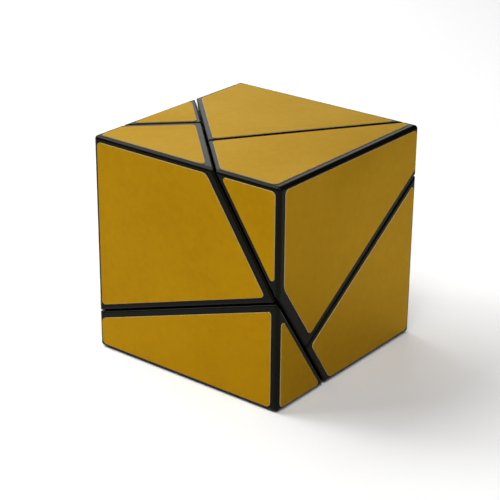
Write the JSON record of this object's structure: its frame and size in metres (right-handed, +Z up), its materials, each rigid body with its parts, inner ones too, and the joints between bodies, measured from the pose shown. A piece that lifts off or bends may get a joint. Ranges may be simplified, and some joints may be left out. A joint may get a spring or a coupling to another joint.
{
  "type": "twisty cube puzzle",
  "caption": "Cube-shaped twisty puzzle with tilted cuts, gold stickers on black plastic, and two halves that turn against each other about a tilted axis.",
  "frame": {"origin": "on the resting surface, under the cube's centre", "axes": "+Z up, -Y towards the front face, +X towards the right face"},
  "size_m": [0.0604, 0.0604, 0.0604],
  "materials": {
    "outer_plastic": "semi-gloss black moulded plastic",
    "base_plastic": "satin black moulded plastic",
    "gold_sticker": "satin gold metallised film",
    "inner_plastic": "greased black moulded plastic",
    "screw_steel": "zinc-plated steel",
    "spring_steel": "bright spring steel"
  },
  "bodies": {
    "left_half": {"base_bottom_front": "base_plastic", "base_bottom_left": "base_plastic", "base_front": "base_plastic", "base_left": "base_plastic", "centre_cap_mz": "inner_plastic", "edge_mx_mz": "inner_plastic", "edge_my_mz": "inner_plastic", "edge_px_mz": "inner_plastic", "edge_py_mz": "inner_plastic", "shell_bottom_front": "outer_plastic", "shell_bottom_left": "outer_plastic", "shell_front": "outer_plastic", "shell_left": "outer_plastic", "stickers_bottom_front": "gold_sticker", "stickers_bottom_left": "gold_sticker", "stickers_front": "gold_sticker", "stickers_left": "gold_sticker"},
    "right_half": {"base_back": "base_plastic", "base_right": "base_plastic", "base_top_back": "base_plastic", "base_top_front": "base_plastic", "centre_cap_mx": "inner_plastic", "centre_cap_my": "inner_plastic", "centre_cap_px": "inner_plastic", "centre_cap_py": "inner_plastic", "centre_cap_pz": "inner_plastic", "core": "inner_plastic", "edge_mx_my": "inner_plastic", "edge_mx_py": "inner_plastic", "edge_mx_pz": "inner_plastic", "edge_my_pz": "inner_plastic", "edge_px_my": "inner_plastic", "edge_px_py": "inner_plastic", "edge_px_pz": "inner_plastic", "edge_py_pz": "inner_plastic", "screws": "screw_steel", "shell_back": "outer_plastic", "shell_right": "outer_plastic", "shell_top_back": "outer_plastic", "shell_top_front": "outer_plastic", "springs": "spring_steel", "stickers_back": "gold_sticker", "stickers_right": "gold_sticker", "stickers_top_back": "gold_sticker", "stickers_top_front": "gold_sticker", "washers": "screw_steel"}
  },
  "joints": [
    {"name": "main_turn", "type": "hinge", "parent": "left_half", "child": "right_half", "pos_m": [-0.00523, 0.00523, 0.0302], "axis": [-0.6398, -0.6398, -0.4258], "continuous": true}
  ]
}
